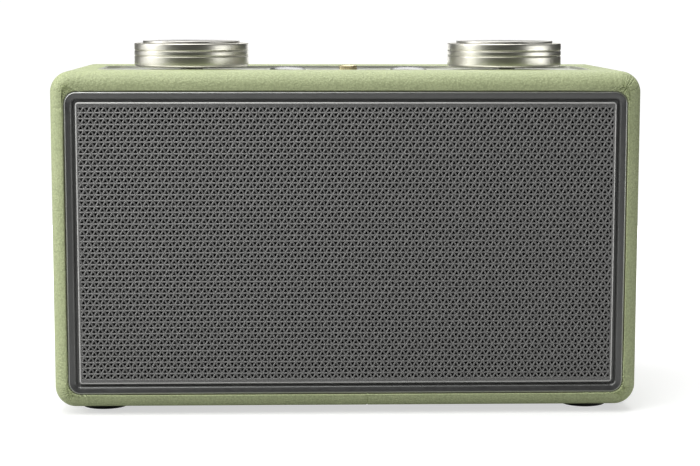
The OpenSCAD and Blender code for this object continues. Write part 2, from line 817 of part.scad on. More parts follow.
leather_wrap();
cabinet_top();
cabinet_bottom();
cabinet_left();
cabinet_right();
corner_blocks();
baffle();
bezel();
grille();
grille_cloth();
left_speaker_basket();
left_speaker_cone();
left_speaker_surround();
left_speaker_spider();
left_speaker_yoke();
left_speaker_magnet();
right_speaker_basket();
right_speaker_cone();
right_speaker_surround();
right_speaker_spider();
right_speaker_yoke();
right_speaker_magnet();
speaker_screws();
top_panel();
control_board();
left_button();
right_button();
left_button_spring();
right_button_spring();
button_switches();
volume_knob();
volume_knob_inlay();
volume_shaft();
volume_control();
tuning_knob();
tuning_knob_inlay();
tuning_shaft();
tuning_control();
control_nuts();
jack_nut();
jack_socket();
main_board();
board_capacitors();
tuner_shield();
ferrite_rod();
ferrite_coil();
rod_holders();
rear_panel();
rear_screws();
battery_tray();
battery_cells();
battery_door();
antenna_base();
antenna_knuckle();
antenna_outer_tube();
antenna_middle_tube();
antenna_rod();
dc_inlet();
feet();
foot_screws();
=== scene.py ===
"""Looks of the table radio: replacement meshes, procedural materials, light and camera.

Lengths are millimetres in body coordinates, which P() takes: x from the middle, y back from the
front face, z up from the cabinet's underside. Lights and the floor are placed in metres.
"""

import json
import math
import random

import bmesh
import bpy
from mathutils import Matrix, Vector

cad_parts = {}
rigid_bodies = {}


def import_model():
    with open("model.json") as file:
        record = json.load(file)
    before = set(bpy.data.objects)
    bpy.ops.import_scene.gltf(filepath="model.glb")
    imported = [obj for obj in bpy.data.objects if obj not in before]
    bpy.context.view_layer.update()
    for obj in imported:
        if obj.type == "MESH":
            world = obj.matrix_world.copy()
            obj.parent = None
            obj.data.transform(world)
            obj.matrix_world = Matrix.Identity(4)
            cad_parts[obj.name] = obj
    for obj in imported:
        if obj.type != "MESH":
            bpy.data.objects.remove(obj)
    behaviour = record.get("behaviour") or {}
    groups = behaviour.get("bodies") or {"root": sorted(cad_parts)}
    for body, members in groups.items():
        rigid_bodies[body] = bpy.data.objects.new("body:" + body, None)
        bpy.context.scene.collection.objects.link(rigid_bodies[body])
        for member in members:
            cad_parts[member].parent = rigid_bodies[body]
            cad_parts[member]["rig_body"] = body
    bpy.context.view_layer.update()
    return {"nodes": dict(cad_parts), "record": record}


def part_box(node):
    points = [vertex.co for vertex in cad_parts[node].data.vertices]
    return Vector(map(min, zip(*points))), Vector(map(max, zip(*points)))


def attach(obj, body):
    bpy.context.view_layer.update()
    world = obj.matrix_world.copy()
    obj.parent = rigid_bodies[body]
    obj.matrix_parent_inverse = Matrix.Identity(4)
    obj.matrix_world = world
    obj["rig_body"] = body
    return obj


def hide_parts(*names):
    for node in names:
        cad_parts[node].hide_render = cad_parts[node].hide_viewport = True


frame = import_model()
random.seed(11)
MM = 0.001

skin_lo, skin_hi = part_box("leather_wrap")
FRONT, UNDER = skin_lo.y, skin_lo.z
BODY_W, BODY_D, BODY_H = ((skin_hi - skin_lo) / MM)[:]


def P(x, y, z):
    return (x * MM, FRONT + y * MM, UNDER + z * MM)


class BodyBox:
    """A node's box in body coordinates."""

    def __init__(self, node):
        lo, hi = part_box(node)
        off = Vector((0, FRONT, UNDER))
        self.lo, self.hi = (lo - off) / MM, (hi - off) / MM
        self.size = self.hi - self.lo
        self.mid = (self.lo + self.hi) / 2


BEZEL = BodyBox("bezel")
GRILLE = BodyBox("grille")
REAR = BodyBox("rear_panel")
PANEL = BodyBox("top_panel")
NUT = BodyBox("jack_nut")

# Radii of the outlines, seen from the front or, for the panel, from above
CORNER_R = 10.0
BEZEL_R = 6.0
GRILLE_R = 1.5
REAR_PANEL_R = 6.0
PANEL_R = 10.0


# ---------- node materials ----------

# Sockets of the Mix node when it mixes colours
MIX_FACTOR, MIX_A, MIX_B = 0, 6, 7
# Most values of a noise lie between these
NOISE_LO, NOISE_HI = 0.3, 0.7


def rgba(color):
    """Four channels from three, or from one grey."""
    return (*(color if hasattr(color, "__len__") else (color,) * 3), 1)


def add_node(tree, kind, inputs=None, **settings):
    """New shader node. An input given as a socket is linked; anything else is its value."""
    node = tree.nodes.new("ShaderNode" + kind)
    for key, value in settings.items():
        setattr(node, key, value)
    for key, value in (inputs or {}).items():
        if isinstance(value, bpy.types.NodeSocket):
            tree.links.new(value, node.inputs[key])
        else:
            node.inputs[key].default_value = value
    return node


class Mat:
    """A Principled material and short calls that add nodes to it."""

    def __init__(self, name, color, rough=0.5, metal=0.0, spec=0.5, coat=0.0, aniso=0.0,
                 sheen=0.0):
        self.mat = bpy.data.materials.new(name)
        self.mat.use_nodes = True
        self.mat.diffuse_color = (*color, 1)
        self.tree = self.mat.node_tree
        self.bsdf = self.tree.nodes["Principled BSDF"]
        self.base = tuple(color)
        self.normal = None
        for key, value in (("Base Color", (*color, 1)), ("Roughness", rough),
                           ("Metallic", metal), ("Specular IOR Level", spec),
                           ("Coat Weight", coat), ("Coat Roughness", 0.2),
                           ("Anisotropic", aniso), ("Sheen Weight", sheen)):
            self.bsdf.inputs[key].default_value = value
        self.coord = self.node("TexCoord").outputs["Object"]

    def node(self, kind, inputs=None, **settings):
        return add_node(self.tree, kind, inputs, **settings)

    def to_shader(self, socket, key):
        self.tree.links.new(socket, self.bsdf.inputs[key])
        return self

    def vector_math(self, operation, a, b=(0, 0, 0)):
        return self.node("VectorMath", {0: a, 1: b}, operation=operation).outputs

    def scaled(self, scale):
        vector = scale if hasattr(scale, "__len__") else (scale,) * 3
        return self.node("Mapping", {"Vector": self.coord, "Scale": vector}).outputs["Vector"]

    def noise(self, scale, detail=3, rough=0.55):
        inputs = {"Vector": self.scaled(scale), "Scale": 1, "Detail": detail, "Roughness": rough}
        return self.node("TexNoise", inputs).outputs["Fac"]

    def cells(self, scale, smooth=0.0):
        """Distance from the nearest cell's point, rounded off if smooth is over 0."""
        inputs = {"Vector": self.scaled(scale), "Scale": 1}
        if smooth:
            inputs["Smoothness"] = smooth
        feature = "SMOOTH_F1" if smooth else "F1"
        return self.node("TexVoronoi", inputs, feature=feature).outputs["Distance"]

    def bands(self, scale, axis="X", distort=0.0):
        inputs = {"Vector": self.coord, "Scale": scale, "Distortion": distort}
        wave = self.node("TexWave", inputs, wave_type="BANDS", bands_direction=axis)
        return wave.outputs["Fac"]

    def turned(self, scale):
        """Fine rings about the object's own Z axis, on its side and on its ends."""
        around = self.vector_math("LENGTH", self.scaled((1, 1, 0)))["Value"]
        height = self.node("SeparateXYZ", {0: self.coord}).outputs["Z"]
        place = self.node("Math", {0: around, 1: height}, operation="ADD").outputs[0]
        inputs = {"W": place, "Scale": scale, "Detail": 4, "Roughness": 0.7}
        return self.node("TexNoise", inputs, noise_dimensions="1D").outputs["Fac"]

    def edge(self, box, radius, width):
        """1 within width of the round rectangle that a box shows from the front, 0 further in."""
        centre = (0, 0, P(0, 0, box.mid.z)[2])
        straight = ((box.size.x / 2 - radius) * MM, 1, (box.size.z / 2 - radius) * MM)
        away = self.vector_math("ABSOLUTE", self.vector_math("SUBTRACT", self.coord, centre)[0])
        past = self.vector_math("SUBTRACT", away[0], straight)
        distance = self.vector_math("LENGTH", self.vector_math("MAXIMUM", past[0])[0])["Value"]
        limit, soft = (radius - width) * MM, 0.05 * MM
        inputs = {"Value": distance, "From Min": limit - soft, "From Max": limit + soft}
        return self.node("MapRange", inputs).outputs["Result"]

    def ramp(self, fac, stops):
        """Colours, or greys given as one number, at places along fac."""
        node = self.node("ValToRGB", {"Fac": fac})
        elements = node.color_ramp.elements
        while len(elements) < len(stops):
            elements.new(0.5)
        for element, (place, color) in zip(elements, stops):
            element.position = place
            element.color = rgba(color)
        return node.outputs["Color"]

    def mix(self, fac, a, b, mode="MIX"):
        inputs = {MIX_FACTOR: fac}
        for key, value in ((MIX_A, a), (MIX_B, b)):
            inputs[key] = value if isinstance(value, bpy.types.NodeSocket) else rgba(value)
        return self.node("Mix", inputs, data_type="RGBA", blend_type=mode).outputs[2]

    def vary(self, fac, amount):
        """Base colour from darker to lighter by amount over fac."""
        dark = [c * (1 - amount) for c in self.base]
        light = [min(1, c * (1 + amount)) for c in self.base]
        return self.color(self.ramp(fac, [(NOISE_LO, dark), (NOISE_HI, light)]))

    def color(self, socket):
        return self.to_shader(socket, "Base Color")

    def rough(self, fac, lo, hi):
        inputs = {"Value": fac, "From Min": NOISE_LO, "From Max": NOISE_HI, "To Min": lo,
                  "To Max": hi}
        return self.to_shader(self.node("MapRange", inputs).outputs["Result"], "Roughness")

    def bump(self, height, strength, depth_mm):
        """Relief that adds to any earlier one."""
        inputs = {"Height": height, "Strength": strength, "Distance": depth_mm * MM}
        if self.normal:
            inputs["Normal"] = self.normal
        self.normal = self.node("Bump", inputs).outputs["Normal"]
        return self.to_shader(self.normal, "Normal")


def leather():
    """Pebbled sage leather with soft blotches of tone and painted shade in the pebbles' valleys."""
    m = Mat("leather_sage", (0.475, 0.532, 0.295), rough=0.5, spec=0.35)
    pebble = m.cells(1050, smooth=0.3)
    tone = m.ramp(m.noise(38, 4), [(0.3, (0.450, 0.507, 0.276)), (0.55, (0.478, 0.536, 0.295)),
                                   (0.75, (0.504, 0.559, 0.311))])
    # Painted shade: darker where the pebbles' valleys lie
    valley_shade = m.ramp(pebble, [(0.25, 1.0), (0.8, 0.72)])
    m.color(m.mix(0.75, tone, valley_shade, "MULTIPLY"))
    m.rough(m.noise(900), 0.44, 0.6)
    m.bump(m.noise(420, 4, 0.6), 0.7, 0.16)
    return m.bump(m.ramp(pebble, [(0.1, 1.0), (0.8, 0.0)]), 1.0, 0.15).mat


def wood(name, color, dark):
    m = Mat(name, color, rough=0.6)
    grain = m.noise((14, 90, 420), 5, 0.6)
    light = [min(1, c * 1.15) for c in color]
    m.color(m.ramp(grain, [(0.35, dark), (0.6, color), (0.8, light)]))
    return m.rough(grain, 0.5, 0.75).bump(grain, 0.3, 0.1).mat


def satin(name, color, rough, scale, bump=0.12):
    """Metal with an even, slightly cloudy finish."""
    m = Mat(name, color, rough=rough, metal=1.0)
    m.vary(m.noise(scale / 6), 0.08)
    fine = m.noise(scale, 4)
    return m.rough(fine, rough * 0.82, rough * 1.2).bump(fine, bump, 0.02).mat


def plastic(name, color, rough=0.45, grain=1600, depth=0.03):
    m = Mat(name, color, rough=rough)
    m.vary(m.noise(60), 0.12)
    return m.rough(m.noise(300), rough * 0.85, rough * 1.2).bump(m.cells(grain), 0.35, depth).mat


def turned_metal(name, color, rough, rings, aniso=0.55, vary=0.06):
    """Metal with the fine rings of a lathe, which stretch its highlights."""
    m = Mat(name, color, rough=rough, metal=1.0, aniso=aniso)
    m.vary(m.noise(40, 2), vary)
    m.to_shader(m.node("Tangent", direction_type="RADIAL", axis="Z").outputs[0], "Tangent")
    lines = m.turned(rings)
    return m.rough(lines, rough * 0.9, rough * 1.12).bump(lines, 0.05, 0.004).mat


def brushed(name, color, rough):
    """Metal brushed along X."""
    m = Mat(name, color, rough=rough, metal=1.0, aniso=0.4)
    lines = m.noise((18, 2600, 2600), 3, 0.6)
    m.vary(lines, 0.05)
    return m.rough(lines, rough * 0.8, rough * 1.25).bump(lines, 0.1, 0.01).mat


def woven(name, color, pitch_mm):
    """Cloth with a thread every pitch_mm in X and in Z."""
    m = Mat(name, color, rough=0.85, sheen=0.15)
    # A wave repeats every pi / 10 / scale: one thread over and one under
    scale = math.pi / 20 / (pitch_mm * MM)
    weave = m.mix(1.0, m.bands(scale, "X"), m.bands(scale, "Z"), "DIFFERENCE")
    return m.vary(weave, 0.35).bump(weave, 0.6, 0.12).mat


def fibre(name, color, scale, rough, depth=0.1):
    m = Mat(name, color, rough=rough)
    f = m.noise(scale, 5, 0.65)
    m.vary(f, 0.25)
    return m.rough(f, rough * 0.85, min(1, rough * 1.1)).bump(f, 0.5, depth).mat


def board_green():
    m = Mat("circuit_board_green", (0.02, 0.11, 0.05), rough=0.35, coat=0.3)
    tracks = m.bands(170, "X", 2.5)
    m.color(m.ramp(tracks, [(0.45, (0.015, 0.085, 0.04)), (0.55, (0.03, 0.16, 0.07))]))
    return m.rough(m.noise(200), 0.3, 0.45).bump(tracks, 0.3, 0.04).mat


def wound_copper():
    m = Mat("copper_wound", (0.62, 0.27, 0.13), rough=0.3, metal=1.0)
    turns = m.bands(1300)
    m.vary(turns, 0.35)
    return m.rough(turns, 0.25, 0.4).bump(turns, 0.8, 0.12).mat


def sleeve():
    m = Mat("capacitor_sleeve_blue", (0.02, 0.03, 0.12), rough=0.3, coat=0.2)
    m.vary(m.noise(90), 0.2)
    return m.rough(m.noise(400), 0.25, 0.4).bump(m.noise(700), 0.15, 0.03).mat


def jacket():
    m = Mat("cell_jacket_printed", (0.35, 0.36, 0.38), rough=0.32, metal=0.7)
    m.color(m.ramp(m.bands(6.4), [(0.3, (0.32, 0.34, 0.37)), (0.34, (0.05, 0.10, 0.16))]))
    return m.rough(m.noise(300), 0.28, 0.4).bump(m.noise(500), 0.12, 0.02).mat


def grille_paint():
    """Speckled gunmetal paint, with a painted highlight: a lighter band on the pan's pressed edge.
    """
    m = Mat("grille_gunmetal", (0.20, 0.199, 0.194), rough=0.36, metal=0.55)
    speck = m.noise(1500, 2)
    paint = m.ramp(speck, [(0.35, (0.16, 0.159, 0.155)), (0.55, (0.225, 0.224, 0.218)),
                           (0.75, (0.33, 0.328, 0.32))])
    # Painted highlight: the pan's pressed edge is coloured light grey where it would catch the
    # light
    m.color(m.mix(m.edge(GRILLE, GRILLE_R, 0.75), paint, (0.62, 0.62, 0.60)))
    return m.rough(m.noise(700), 0.38, 0.54).bump(speck, 0.35, 0.03).mat


def bezel_coat():
    """Dark satin coat with a painted highlight: a lighter band all round its cut edge."""
    m = Mat("bezel_satin", (0.15, 0.152, 0.148), rough=0.37, metal=0.8)
    tone = m.ramp(m.noise(80), [(0.3, (0.144, 0.146, 0.142)), (0.7, (0.156, 0.158, 0.154))])
    # Painted highlight: a light grey band along the cut edge, where it would catch the light
    m.color(m.mix(m.edge(BEZEL, BEZEL_R, 0.85), tone, (0.46, 0.465, 0.455)))
    fine = m.noise(500)
    return m.rough(fine, 0.3, 0.44).bump(fine, 0.04, 0.02).mat


BY_SLOT = {
    "leather": leather(),
    "cabinet_wood": wood("cabinet_wood_grain", (0.48, 0.33, 0.19), (0.30, 0.19, 0.10)),
    "speaker_board": fibre("speaker_board_painted", (0.03, 0.03, 0.032), 260, 0.7),
    "bezel_black": bezel_coat(),
    "grille_metal": grille_paint(),
    "speaker_cloth": woven("speaker_cloth_black", (0.012, 0.012, 0.013), 0.8),
    "basket_metal": satin("basket_steel", (0.30, 0.32, 0.34), 0.45, 300),
    "cone_paper": fibre("cone_paper_black", (0.025, 0.024, 0.023), 900, 0.9),
    "soft_rubber": plastic("soft_rubber_dark", (0.02, 0.02, 0.021), 0.6, 900),
    "spider_fabric": woven("spider_fabric_tan", (0.42, 0.27, 0.12), 0.7),
    "plated_steel": satin("plated_steel_bright", (0.62, 0.62, 0.60), 0.28, 400),
    "ferrite": fibre("ferrite_grey", (0.06, 0.06, 0.062), 1400, 0.6, 0.05),
    "panel_metal": brushed("panel_brushed", (0.72, 0.73, 0.67), 0.36),
    "circuit_board": board_green(),
    "button_metal": turned_metal("button_chrome", (0.38, 0.38, 0.375), 0.27, 700, 0.2, 0.03),
    "spring_steel": satin("spring_steel_wire", (0.5, 0.5, 0.52), 0.3, 900),
    "black_plastic": plastic("black_plastic_moulded", (0.015, 0.015, 0.016)),
    "knob_metal": turned_metal("knob_champagne", (0.66, 0.645, 0.575), 0.3, 2600),
    "knob_inlay": turned_metal("knob_inlay_spun", (0.62, 0.605, 0.56), 0.3, 2200, 0.6),
    "control_metal": satin("control_metal_zinc", (0.45, 0.45, 0.43), 0.4, 350),
    "brass": satin("brass_nut", (0.68, 0.59, 0.37), 0.28, 600, 0.05),
    "capacitor_sleeve": sleeve(),
    "copper_wire": wound_copper(),
    "white_plastic": plastic("white_plastic_moulded", (0.7, 0.69, 0.64), 0.5),
    "rear_plastic": plastic("rear_plastic_grained", (0.022, 0.022, 0.023), 0.5, 900, 0.08),
    "cell_jacket": jacket(),
    "antenna_metal": turned_metal("antenna_chrome", (0.75, 0.75, 0.74), 0.16, 500, 0.2, 0.03),
    "foot_rubber": plastic("foot_rubber_black", (0.02, 0.02, 0.02), 0.75, 700, 0.08),
}
CAD_SLOT = {}
for part in frame["record"]["subparts"]:
    CAD_SLOT[part["node"]] = part.get("material") or part.get("slot")
for name, obj in frame["nodes"].items():
    slot = CAD_SLOT.get(name) or obj.data.materials[0].name.split(".")[0]
    CAD_SLOT[name] = slot
    for i in range(len(obj.material_slots)):
        obj.material_slots[i].link = "OBJECT"
        obj.material_slots[i].material = BY_SLOT[slot]


# ---------- mesh helpers ----------


def piece(name, verts, faces, node, sharp, origin=None):
    """Mesh piece that stands for a CAD node, rides with it and takes its slot."""
    like = (node,)
    me = bpy.data.meshes.new(name)
    me.from_pydata([tuple(v) for v in verts], [], faces)
    me.validate()
    me.update()
    bm = bmesh.new()
    bm.from_mesh(me)
    bmesh.ops.remove_doubles(bm, verts=bm.verts, dist=1e-7)
    bm.to_mesh(me)
    bm.free()
    obj = bpy.data.objects.new(name, me)
    bpy.context.scene.collection.objects.link(obj)
    if origin:
        obj.location = origin
    me.polygons.foreach_set("use_smooth", [True] * len(me.polygons))
    me.set_sharp_from_angle(angle=math.radians(sharp))
    slot = CAD_SLOT[like[0]]
    me.materials.append(BY_SLOT[slot])
    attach(obj, frame["nodes"][like[0]]["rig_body"])
    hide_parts(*like)
    return obj


def outline(w, h, r, zc, xs, zs, arc):
    """Closed round rectangle in XZ as (x, z, nx, nz), clockwise from the top left.

    A side has a point at each share of its length in xs or zs, a corner has arc points.
    """
    a, b = w / 2 - r, h / 2 - r
    sides = (((-a, b + r), (a, b + r)), ((a + r, b), (a + r, -b)),
             ((a, -b - r), (-a, -b - r)), ((-a - r, -b), (-a - r, b)))
    corners = ((a, b), (a, -b), (-a, -b), (-a, b))
    out = []
    for side, ((x0, z0), (x1, z1)) in enumerate(sides):
        facing = math.pi / 2 * (1 - side)
        nx, nz = math.cos(facing), math.sin(facing)
        for t in (zs if side % 2 else xs)[:-1]:
            out.append((x0 + (x1 - x0) * t, zc + z0 + (z1 - z0) * t, nx, nz))
        cx, cz = corners[side]
        for k in range(arc):
            g = facing - k / arc * math.pi / 2
            nx, nz = math.cos(g), math.sin(g)
            out.append((cx + r * nx, zc + cz + r * nz, nx, nz))
    return out


def sweep(rows, flip=False):
    """Verts and quads between closed rows with the same number of points."""
    n = len(rows[0])
    verts = [v for row in rows for v in row]
    faces = []
    for i in range(len(rows) - 1):
        for j in range(n):
            k = (j + 1) % n
            q = (i * n + j, i * n + k, (i + 1) * n + k, (i + 1) * n + j)
            faces.append(q[::-1] if flip else q)
    return verts, faces


def smoothed(points, radius, steps=4):
    """Polyline (r, z) with each inner corner rounded by radius."""
    out = [points[0]]
    for a, b, c in zip(points, points[1:], points[2:]):
        a, b, c = Vector(a), Vector(b), Vector(c)
        cut = min(radius, (a - b).length * 0.45, (c - b).length * 0.45)
        start, end = b + (a - b).normalized() * cut, b + (c - b).normalized() * cut
        for k in range(steps + 1):
            t = k / steps
            p = start * (1 - t) ** 2 + b * 2 * t * (1 - t) + end * t * t
            out.append((p.x, p.y))
    out.append(points[-1])
    return out


def lathe(name, profile, node, at, segments, sharp=40, wave=None):
    """Profile of (r, z) turned about the Z axis through the body point at.

    wave(k, z) is added to the radius at segment k.
    """
    verts, faces = [], []
    for r, z in profile:
        for k in range(segments):
            g = k / segments * math.tau
            rr = r + (wave(k, z) if wave else 0)
            verts.append((rr * math.cos(g) * MM, rr * math.sin(g) * MM, z * MM))
    for i in range(len(profile) - 1):
        for k in range(segments):
            a, b = i * segments, (i + 1) * segments
            n = (k + 1) % segments
            faces.append((a + k, a + n, b + n, b + k))
    for i, flip in ((0, True), (len(profile) - 1, False)):
        if profile[i][0] > 1e-6:
            cap = [i * segments + k for k in range(segments)]
            faces.append(tuple(cap[::-1] if flip else cap))
    return piece(name, verts, faces, node, sharp, origin=P(*at))


# ---------- leather ----------

SKIN = 1.2          # thickness of the leather
GAP = 0.25          # from the leather's lips to the bezel and the panels
FRONT_R = 7.0       # roundovers between the sides and the front and rear faces
REAR_R = 4.0
LIP_R = 0.45        # roll of the lip into the gap round the bezel, outwards and in depth
LIP_DEPTH = 0.75
PANEL_LIP_R = 0.5   # roll of the lip into the top panel's opening
SEAM_X, SEAM_HALF, SEAM_DEPTH = 10.0, 0.45, 0.35
WRINKLES = 20       # in each corner, and on each side past each corner
WRINKLE_RUN = 24.0  # how far past a corner the leather is wrinkled
FINE_STEP, FINE_STATIONS = 0.4, 62
CORNER_POINTS = 110
ALONG, UPRIGHT = BODY_W - 2 * CORNER_R, BODY_H - 2 * CORNER_R


def stations(length, extra=()):
    """Places along a straight side as shares of its length, close together near both corners."""
    near = [FINE_STEP * k for k in range(1, FINE_STATIONS + 1)] + list(extra)
    at = {0.0, length} | {length * k / 40 for k in range(1, 40)}
    at |= set(near) | {length - v for v in near}
    return [v / length for v in sorted(at)]


def wrinkles(first, pitch, depth, width, slant):
    """Folds as (place, depth, width, slant, reach); places count in degrees or millimetres."""
    return [(first + pitch * (k + random.uniform(0.15, 0.85)), random.uniform(*depth),
             random.uniform(*width), random.uniform(*slant), random.uniform(0.3, 0.75))
            for k in range(WRINKLES)]


def crease(folds, place, along):
    """Depth of the folds at a place, along from the bezel (0) to past the roundover (1)."""
    total = 0.0
    for at, depth, width, slant, reach in folds:
        x = (place - at - slant * along) / width
        if abs(x) < 3:
            total += depth * math.exp(-x * x) * max(0.0, 1 - (along / reach) ** 2)
    return total


def wrinkle_map(xs, zs):
    """For each point of the perimeter: folds near it, its place among them, their strength."""
    arcs = [wrinkles(2, 4.3, (0.24, 0.52), (1.1, 1.8), (-5, 5)) for _ in range(4)]
    runs = [wrinkles(0.4, 1.05, (0.20, 0.45), (0.34, 0.52), (1.5, 5)) for _ in range(8)]
    out = []
    for side in range(4):
        shares, length = (zs, UPRIGHT) if side % 2 else (xs, ALONG)
        for share in shares[:-1]:
            place = share * length
            run = runs[2 * side + (0 if place < length / 2 else 1)]
            past = min(place, length - place)
            out.append((run, past, max(0.0, 1 - past / WRINKLE_RUN)))
        out += [(arcs[side], k / CORNER_POINTS * 90, 1.0) for k in range(CORNER_POINTS)]
    return out


def leather_rows(xs, zs):
    """Rows of the skin from the lip round the bezel to the one round the rear panel.

    Also returns the numbers of the first and last row on the flat of the top.
    """
    folds_at = wrinkle_map(xs, zs)
    rows = []

    def row(w, h, r, zc, y, normal_y, along=None, seam=True):
        """Round rectangle at depth y; wrinkles and the seam press it in along its normal."""
        side = math.sqrt(max(0.0, 1 - normal_y ** 2))
        out = []
        points = outline(w, h, r, zc, xs, zs, CORNER_POINTS)
        for (x, z, nx, nz), (folds, place, strength) in zip(points, folds_at):
            push = 0.0
            if along is not None and strength > 0:
                push = strength * crease(folds, place, along)
            if seam and nz < -0.9 and abs(x - SEAM_X) < SEAM_HALF:
                push += SEAM_DEPTH * (1 - abs(x - SEAM_X) / SEAM_HALF)
            out.append(P(x - nx * side * push, y - normal_y * push, z - nz * side * push))
        rows.append(out)

    # Lip turned into the gap beside the bezel
    w, h, r, zc = BEZEL.size.x + 2 * GAP, BEZEL.size.z + 2 * GAP, BEZEL_R + GAP, BEZEL.mid.z
    row(w, h, r, zc, 3.4, 0, seam=False)
    row(w, h, r, zc, LIP_DEPTH, 0, 0.0)
    for degrees in (30, 60):
        g = math.radians(degrees)
        d = LIP_R * (1 - math.cos(g))
        row(w + 2 * d, h + 2 * d, r + d, zc, LIP_DEPTH * (1 - math.sin(g)), -math.sin(g), 0.03)
    lip_x, lip_lo, lip_hi = w / 2 + LIP_R, zc - h / 2 - LIP_R, zc + h / 2 + LIP_R

    def front_row(inward, y, normal_y, along, share=1.0):
        """Row at a distance inside the body's outline, but never inside the lip."""
        x = max(lip_x, lip_x + (BODY_W / 2 - inward - lip_x) * share)
        z0 = min(lip_lo, lip_lo + (inward - lip_lo) * share)
        z1 = max(lip_hi, lip_hi + (BODY_H - inward - lip_hi) * share)
        radius = (r + LIP_R) * (1 - share) + (CORNER_R - inward) * share
        row(2 * x, z1 - z0, radius, (z0 + z1) / 2, y, normal_y, along)

    # Flat of the front face and the roundover to the sides
    for share, y in ((0.12, 0.05), (0.5, 0.0), (0.95, 0.0)):
        front_row(FRONT_R, y, -1, 0.05 + 0.2 * share, share)
    for k in range(1, 15):
        g = math.pi / 2 * k / 14
        front_row(FRONT_R * (1 - math.sin(g)), FRONT_R * (1 - math.cos(g)), -math.cos(g),
                  0.25 + 0.5 * k / 14)
    top_first = len(rows) - 1

    # Sides, the roundover to the rear face and the lip round the rear panel
    zc = BODY_H / 2
    for y in (9, 12, 18, 28, 45, 60, 75, 92, 108):
        row(BODY_W, BODY_H, CORNER_R, zc, y, 0, min(1.0, 0.75 + (y - FRONT_R) * 0.05))
    row(BODY_W, BODY_H, CORNER_R, zc, BODY_D - REAR_R, 0)
    top_last = len(rows) - 1
    for k in range(1, 9):
        g = math.pi / 2 * k / 8
        d = REAR_R * (1 - math.cos(g))
        row(BODY_W - 2 * d, BODY_H - 2 * d, CORNER_R - d, zc,
            BODY_D - REAR_R * (1 - math.sin(g)), math.sin(g))
    w, h, zc = REAR.size.x + 2 * GAP, REAR.size.z + 2 * GAP, BEZEL.mid.z
    for grow, depth, normal_y in ((0.4, 0, 1), (0.05, 0.35, 0), (0, 3, 0)):
        row(w + 2 * grow, h + 2 * grow, REAR_PANEL_R + grow, zc, BODY_D - depth, normal_y)
    return rows, top_first, top_last


def leather_top(edge):
    """Flat of the top from the skin's edge to the panel's opening, and the lip into it."""
    bm = bmesh.new()
    outer = [bm.verts.new(v) for v in edge]
    long_shares, short_shares = [k / 40 for k in range(41)], [k / 10 for k in range(11)]

    def opening(grow, z):
        points = outline(PANEL.size.x + 2 * (GAP + grow), PANEL.size.y + 2 * (GAP + grow),
                         PANEL_R + GAP + grow, 0, long_shares, short_shares, 14)
        return [bm.verts.new(P(x, PANEL.mid.y + y, z)) for x, y, _, _ in points]

    rings = [opening(PANEL_LIP_R + 0.4, BODY_H), opening(PANEL_LIP_R, BODY_H)]
    for degrees in (30, 60, 90):
        g = math.radians(degrees)
        rings.append(opening(PANEL_LIP_R * (1 - math.sin(g)),
                             BODY_H - PANEL_LIP_R * (1 - math.cos(g))))
    rings.append(opening(0, BODY_H - SKIN - 0.4))
    for loop in (outer, rings[0]):
        for a, b in zip(loop, loop[1:] + loop[:1]):
            bm.edges.new((a, b))
    bmesh.ops.triangle_fill(bm, edges=bm.edges[:], use_beauty=True, normal=(0, 0, 1))
    for upper, lower in zip(rings, rings[1:]):
        n = len(upper)
        for j in range(n):
            k = (j + 1) % n
            bm.faces.new((upper[j], upper[k], lower[k], lower[j]))
    bm.verts.index_update()
    faces = []
    for f in bm.faces:
        f.normal_update()
        ids = [v.index for v in f.verts]
        faces.append(ids if f.normal.z >= -1e-6 else ids[::-1])
    verts = [tuple(v.co) for v in bm.verts]
    bm.free()
    return verts, faces


def leather_skin():
    seam = [SEAM_X + d + ALONG / 2 for d in (-1.2, -SEAM_HALF, -0.2, 0, 0.2, SEAM_HALF, 1.2)]
    xs, zs = stations(ALONG, seam), stations(UPRIGHT)
    rows, top_first, top_last = leather_rows(xs, zs)
    verts, faces = sweep(rows)

    # The top's flat is left out of the swept skin and filled round the panel's opening
    n, last = len(rows[0]), len(xs) - 1
    gone = {i * n + j for i in range(top_first, top_last) for j in range(last)}
    faces = [f for f in faces if f[0] not in gone]
    edge = [top_first * n + j for j in range(last + 1)]
    edge += [i * n + last for i in range(top_first + 1, top_last)]
    edge += [top_last * n + j for j in range(last, -1, -1)]
    edge += [i * n for i in range(top_last - 1, top_first, -1)]
    top_verts, top_faces = leather_top([verts[i] for i in edge])
    faces += [tuple(len(verts) + i for i in f) for f in top_faces]
    return piece("leather_skin", verts + top_verts, faces, "leather_wrap", sharp=50)


# ---------- bezel and grille ----------

# (distance in from the outer edge, depth): cut edge, flat band, and the slope to the grille
BEZEL_SECTION = [(0.0, 3.6), (0.0, 1.1), (0.12, 0.86), (0.78, 0.34), (0.95, 0.3), (1.15, 0.32),
                 (1.5, 0.42), (3.1, 0.72), (3.45, 0.95), (4.1, 2.15), (4.4, 2.45), (5.3, 2.6),
                 (5.3, 7.4)]
BEZEL_INNER_R = 1.2


def bezel_frame():
    rows = []
    for d, y in BEZEL_SECTION:
        points = outline(BEZEL.size.x - 2 * d, BEZEL.size.z - 2 * d,
                         max(BEZEL_R - d, BEZEL_INNER_R), BEZEL.mid.z, [0, 0.5, 1], [0, 0.5, 1], 16)
        rows.append([P(x, y, z) for x, z, _, _ in points])
    verts, faces = sweep(rows, flip=True)
    return piece("bezel_frame", verts, faces, "bezel", sharp=35)


LATTICE_ROWS = 47
LATTICE_MARGIN = 2.2   # plain strip above and below the lattice
LATTICE_SIDE = 0.95    # and beside it
STRUT_HALF = 0.46
GRILLE_SHEET = 1.0
# (distance in from the outer edge, depth) of the pan's pressed edge, down to its flange
GRILLE_EDGE = [(0.6, 0.0), (0.45, 0.03), (0.2, 0.17), (0.05, 0.4), (0.0, 0.7),
               (0.0, GRILLE.size.y)]


